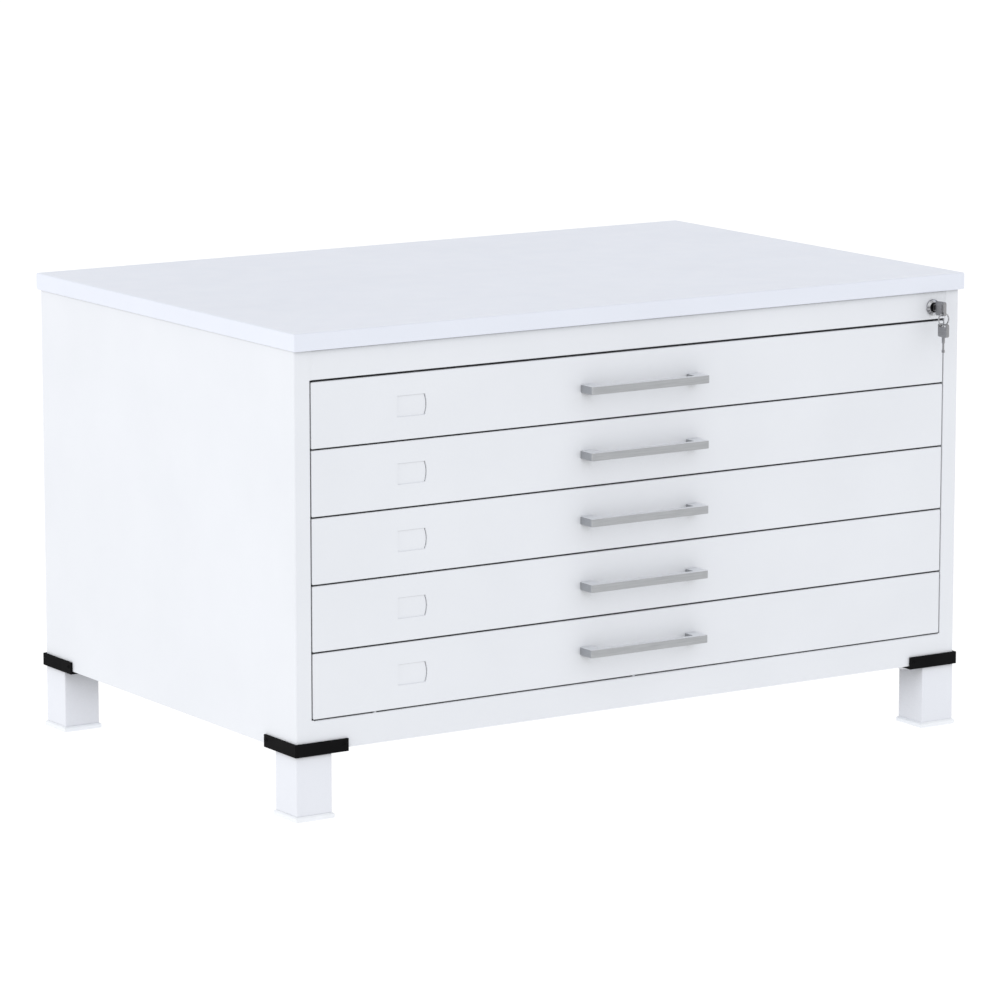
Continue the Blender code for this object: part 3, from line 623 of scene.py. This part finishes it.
def bracket_fixings():
    """Hexagon bolts under each bracket plate, and small black screws through its arms."""
    for corner in CORNERS:
        low, high = box(f"corner_bracket_{corner}")
        leg_low, leg_high = box(f"leg_{corner}")
        x_side = -1 if "left" in corner else 1
        y_side = -1 if "front" in corner else 1
        free_x = (leg_high.x + high.x) / 2 if x_side < 0 else (leg_low.x + low.x) / 2
        free_y = (leg_high.y + high.y) / 2 if y_side < 0 else (leg_low.y + low.y) / 2
        mid_x, mid_y = (leg_low.x + leg_high.x) / 2, (leg_low.y + leg_high.y) / 2
        under = [facing("-Z", (free_x, mid_y, low.z)), facing("-Z", (mid_x, free_y, low.z))]
        bolts = copies(lambda: hex_bolt(BOLT_RADIUS, BOLT_HEIGHT), under)
        piece(f"bracket_bolts_{corner}", bolts, zinc, "cabinet")

        level = (low.z + high.z) / 2 + ARM_SCREW_RISE
        face_x = low.x if x_side < 0 else high.x
        face_y = low.y if y_side < 0 else high.y
        inward_x = (high.x if x_side < 0 else low.x) + x_side * ARM_SCREW_INSET
        inward_y = (high.y if y_side < 0 else low.y) + y_side * ARM_SCREW_INSET
        places = [
            facing("-Y" if y_side < 0 else "+Y", (inward_x, face_y, level)),
            facing("-X" if x_side < 0 else "+X", (face_x, inward_y, level)),
        ]
        screws = copies(lambda: button_head(ARM_SCREW_RADIUS, ARM_SCREW_HEIGHT), places)
        piece(f"bracket_screws_{corner}", screws, black, "cabinet")


def foot_beads():
    """A moulded bead round the end of each leg, on the plate of its foot."""
    for corner in CORNERS:
        leg_low, leg_high = box(f"leg_{corner}")
        centre = ((leg_low.x + leg_high.x) / 2, (leg_low.y + leg_high.y) / 2)
        half = (leg_high.x - leg_low.x) / 2
        top = leg_low.z - TOUCH
        rings = []
        for grow, rise in FOOT_BEAD_PROFILE:
            outline = rounded_rectangle(centre, half + grow, half + grow, FOOT_BEAD_CORNER)
            rings.append([Vector((x, y, top + rise)) for x, y in outline])
        bead = stacked(rings, closed=True)
        piece(f"foot_bead_{corner}", bead, foot_white, "cabinet", smooth=60)


# Drawer details.

ROLLER_RADIUS = 0.0125
ROLLER_WIDTH = 0.0065
ROLLER_SKIN = 0.0002
AXLE_RADIUS = 0.003
FIXED_ROLLER_BACK = 0.016
FIXED_ROLLER_RISE = 0.0141
MOVING_ROLLER_BACK = 0.016
MOVING_ROLLER_INSET = 0.0017
ROLLER_EDGE = 0.0003
HEM_DROP = 0.007
HEM_THICKNESS = 0.0011
HEM_SETBACK = 0.004
# The hem's section: the share of its thickness outward, and the drop from the wall's top.
HEM_SECTION = ((0.0, -0.0003), (0.45, 0.0), (1.0, -0.0005), (1.0, -HEM_DROP), (0.0, -HEM_DROP))
HANDLE_POST_INSET = 0.0089
HANDLE_SCREW_RADIUS = 0.0042
HANDLE_SCREW_HEIGHT = 0.0022
RUNNER_RIVET_RADIUS = 0.0028
RUNNER_RIVET_HEIGHT = 0.0005
RUNNER_RIVET_RISE = 0.003
RUNNER_RIVETS_ALONG = (0.06, 0.22, 0.38, 0.54)


def roller(name, body, face, inward):
    """Nylon tyre over a runner's roller. face is the middle of its free end, and inward the sign of X into it."""
    skin, far = ROLLER_SKIN, ROLLER_WIDTH
    outer = ROLLER_RADIUS + skin
    rings = [
        circle(AXLE_RADIUS + skin, far + skin, 32),
        circle(outer - ROLLER_EDGE, far + skin, 32),
        circle(outer, far - skin, 32),
        circle(outer, skin, 32),
        circle(outer - ROLLER_EDGE, -skin, 32),
        circle(AXLE_RADIUS + 0.0012, -skin, 32),
        circle(AXLE_RADIUS + 0.0009, -skin - 0.00025, 32),
        circle(AXLE_RADIUS * 0.9, -skin - 0.00025, 32),
        circle(AXLE_RADIUS * 0.6, -skin - 0.0005, 32),
    ]
    tyre = stacked(rings)
    place = facing("+X" if inward > 0 else "-X", face)
    tyre.transform(place)
    made = piece(name, tyre, nylon, body)
    made.data.materials.append(zinc)
    axis = Vector(face)
    for polygon in made.data.polygons:
        spread = Vector(polygon.center) - axis
        near = math.hypot(spread.y, spread.z) < AXLE_RADIUS * 0.95
        if near and spread.x * inward < 0:
            polygon.material_index = 1


def rollers():
    for number in DRAWERS:
        for side in SIDES:
            sign = SIGN[side]
            low, high = box(f"cabinet_runner_{number}_{side}")
            mouth = high.x if sign < 0 else low.x
            face = (mouth, low.y + FIXED_ROLLER_BACK, low.z + FIXED_ROLLER_RISE)
            roller(f"fixed_roller_{number}_{side}", "cabinet", face, sign)
            low, high = box(f"drawer_runner_{number}_{side}")
            reach = (low.x if sign < 0 else high.x) - sign * MOVING_ROLLER_INSET
            face = (reach, high.y - MOVING_ROLLER_BACK, low.z + ROLLER_RADIUS)
            roller(f"moving_roller_{number}_{side}", f"drawer_{number}", face, -sign)


def tray_hem(number):
    """Safety hem folded flat outside the side and back walls of a tray."""
    low, high = box(f"drawer_tray_{number}")
    start = low.y + HEM_SETBACK
    mesh = bmesh.new()
    loops = []
    for share, drop in HEM_SECTION:
        reach = high.x + share * HEM_THICKNESS
        end = high.y + share * HEM_THICKNESS
        run = ((-reach, start), (-reach, end), (reach, end), (reach, start))
        loops.append([mesh.verts.new((x, y, high.z + drop)) for x, y in run])
    for first, second in zip(loops, loops[1:] + loops[:1]):
        for i in range(3):
            mesh.faces.new((first[i], first[i + 1], second[i + 1], second[i]))
    mesh.faces.new([loop[0] for loop in loops])
    mesh.faces.new([loop[3] for loop in loops])
    piece(f"tray_hem_{number}", mesh, tray_white, f"drawer_{number}")


def tray_details():
    """Handle screws inside each tray, and rivets that hold the runners to its walls."""
    for number in DRAWERS:
        body = f"drawer_{number}"
        low, high = box(f"drawer_tray_{number}")
        handle_low, handle_high = box(f"drawer_handle_{number}")
        level = (handle_low.z + handle_high.z) / 2
        post = handle_high.x - HANDLE_POST_INSET
        inside = low.y + SHEET
        places = [facing("+Y", (side * post, inside, level)) for side in (-1, 1)]
        screws = copies(lambda: button_head(HANDLE_SCREW_RADIUS, HANDLE_SCREW_HEIGHT), places)
        piece(f"handle_screws_{number}", screws, zinc, body)

        runner_low, runner_high = box(f"drawer_runner_{number}_left")
        level = (runner_low.z + runner_high.z) / 2 + RUNNER_RIVET_RISE
        wall = high.x - SHEET
        places = []
        for along in RUNNER_RIVETS_ALONG:
            y = low.y + along
            places += [facing("+X", (-wall, y, level)), facing("-X", (wall, y, level))]
        rivets = copies(lambda: rivet_head(RUNNER_RIVET_RADIUS, RUNNER_RIVET_HEIGHT), places)
        piece(f"runner_rivets_{number}", rivets, tray_white, body)
        tray_hem(number)


# Keys and ring.

RING_TURNS = 2
RING_STEPS = 96
RING_START = math.radians(200)
RING_WIRE_RADIUS = 0.0008
RING_HALF_WIDTH = 0.00072
RING_HALF_THICKNESS = 0.00036
RING_COIL_OFFSET = 0.0004
RING_CROSSING = math.radians(50)
GRIP_RIBS_ALONG = (0.0072, 0.0098, 0.0124)
GRIP_RIB_HALF_LENGTH = 0.0062
GRIP_RIB_HALF_WIDTH = 0.0006
# (inset from the rib's outline, height over the key's face)
GRIP_RIB_PROFILE = ((0, -0.0003), (0, 0.0001), (0.0002, 0.00025))
# (half width, half height, reach in front of the core's face)
GUARD_PROFILE = (
    (0.0020, 0.0044, -0.0003),
    (0.0020, 0.0044, 0.0001),
    (0.0019, 0.0043, 0.0002),
    (0.0014, 0.0032, 0.0002),
    (0.0014, 0.0032, -0.0003),
)


def split_ring():
    """Flat wire wound twice, with the step where one coil crosses to the other."""
    low, high = box("key_ring")
    centre = (low + high) / 2
    radius = (high.x - low.x) / 2 - RING_WIRE_RADIUS
    total = math.tau * RING_TURNS
    section = rounded_rectangle((0, 0), RING_HALF_WIDTH, RING_HALF_THICKNESS, RING_HALF_THICKNESS * 0.8, 2)
    rings = []
    for i in range(RING_STEPS + 1):
        turn = total * i / RING_STEPS
        share = min(1, max(0, (turn - math.tau + RING_CROSSING / 2) / RING_CROSSING))
        share = share * share * (3 - 2 * share)
        offset = RING_COIL_OFFSET * (2 * share - 1)
        angle = turn + RING_START
        out = Vector((math.cos(angle), 0, math.sin(angle)))
        rings.append([centre + out * (radius + a) + Vector((0, offset + b, 0)) for a, b in section])
    made = piece("split_ring", stacked(rings), ring_wire, "key_ring")
    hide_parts("key_ring")


def key_ribs():
    """Grip ribs on both faces of each key's bow."""
    for name in ("key", "spare_key"):
        low, high = box(name)
        middle = (low + high) / 2
        shapes = []
        for side in (-1, 1):
            face = middle.x + side * (high.x - low.x) / 2
            for along in GRIP_RIBS_ALONG:
                centre = (low.y + along, middle.z)
                halves = (GRIP_RIB_HALF_WIDTH, GRIP_RIB_HALF_LENGTH)
                if name == "spare_key":
                    centre = (middle.y, high.z - along)
                    halves = (GRIP_RIB_HALF_LENGTH, GRIP_RIB_HALF_WIDTH)
                rings = []
                for inset, rise in GRIP_RIB_PROFILE:
                    outline = rounded_rectangle(centre, halves[0] - inset, halves[1] - inset, 0.0003, 2)
                    rings.append([Vector((face + side * rise, y, z)) for y, z in outline])
                shapes.append(stacked(rings))
        piece(f"{name}_grip", gathered(shapes), nickel, name)


def keyway_guard():
    """Steel frame round the keyway in the lock core's face."""
    low, high = box("lock_core")
    centre = ((low.x + high.x) / 2, (low.z + high.z) / 2)
    rings = []
    for half_width, half_height, out in GUARD_PROFILE:
        outline = rounded_rectangle(centre, half_width, half_height, 0.0005, 3)
        rings.append([Vector((x, low.y - out, z)) for x, z in outline])
    piece("keyway_guard", stacked(rings, closed=True), guard_steel, "lock_core")


# Camera, light and floor.


def area(name, place, target, size, power, colour):
    data = bpy.data.lights.new(name, "AREA")
    data.shape = "SQUARE"
    data.size = size
    data.energy = power
    data.color = colour
    lamp = bpy.data.objects.new(name, data)
    bpy.context.scene.collection.objects.link(lamp)
    lamp.location = place
    toward = Vector(target) - Vector(place)
    lamp.rotation_euler = toward.to_track_quat("-Z", "Y").to_euler()


# The sky's strength straight up, where it is 1 at the horizon, and the light that the floor gives out.
ZENITH = 0.89
FLOOR_GLOW = 0.94
FLOOR_GREY = (0.12, 0.12, 0.12, 1)
FLOOR_HALF = 40
KEY_PLACE, KEY_TARGET = (-5, -1.0, 1.6), (0, 0, 0.3)
KEY_SIZE, KEY_POWER, KEY_COLOUR = 3.0, 32, (1.0, 0.99, 0.985)


def stage_and_light():
    floor_mesh = bpy.data.meshes.new("floor")
    shape = bmesh.new()
    bmesh.ops.create_grid(shape, x_segments=1, y_segments=1, size=FLOOR_HALF)
    shape.to_mesh(floor_mesh)
    shape.free()
    floor = bpy.data.objects.new("floor", floor_mesh)
    bpy.context.scene.collection.objects.link(floor)
    made, tree, shader = node_material("floor_white")
    shader.inputs["Base Color"].default_value = FLOOR_GREY
    shader.inputs["Roughness"].default_value = 0.9
    shader.inputs["Specular IOR Level"].default_value = 0.1
    shader.inputs["Emission Color"].default_value = (1, 1, 1, 1)
    shader.inputs["Emission Strength"].default_value = FLOOR_GLOW
    floor_mesh.materials.append(made)

    world = bpy.data.worlds.new("studio")
    bpy.context.scene.world = world
    world.use_nodes = True
    background = world.node_tree.nodes["Background"]
    background.inputs["Color"].default_value = (1, 1, 1, 1)
    where = add(world.node_tree, "ShaderNodeTexCoord")
    split = add(world.node_tree, "ShaderNodeSeparateXYZ")
    world.node_tree.links.new(where.outputs["Generated"], split.inputs["Vector"])
    ramp_to(world.node_tree, split.outputs["Z"], background.inputs["Strength"], 1.0, ZENITH, 0.0, 1.0)
    area("key", KEY_PLACE, KEY_TARGET, KEY_SIZE, KEY_POWER, KEY_COLOUR)


def add_camera():
    data = bpy.data.cameras.new("camera")
    data.lens = CAMERA_LENS
    data.sensor_width = SENSOR
    data.clip_end = 200
    camera = bpy.data.objects.new("camera", data)
    bpy.context.scene.collection.objects.link(camera)
    camera.location = BODY_CORNER + CAMERA_OFFSET
    camera.rotation_euler = Euler((math.pi / 2 - CAMERA_PITCH, 0, CAMERA_YAW))
    bpy.context.scene.camera = camera


dress_cad_nodes()
seam_fillers()
back_details()
bracket_fixings()
foot_beads()
rollers()
tray_details()
split_ring()
key_ribs()
keyway_guard()
stage_and_light()
add_camera()
bpy.context.scene.view_settings.view_transform = "Standard"
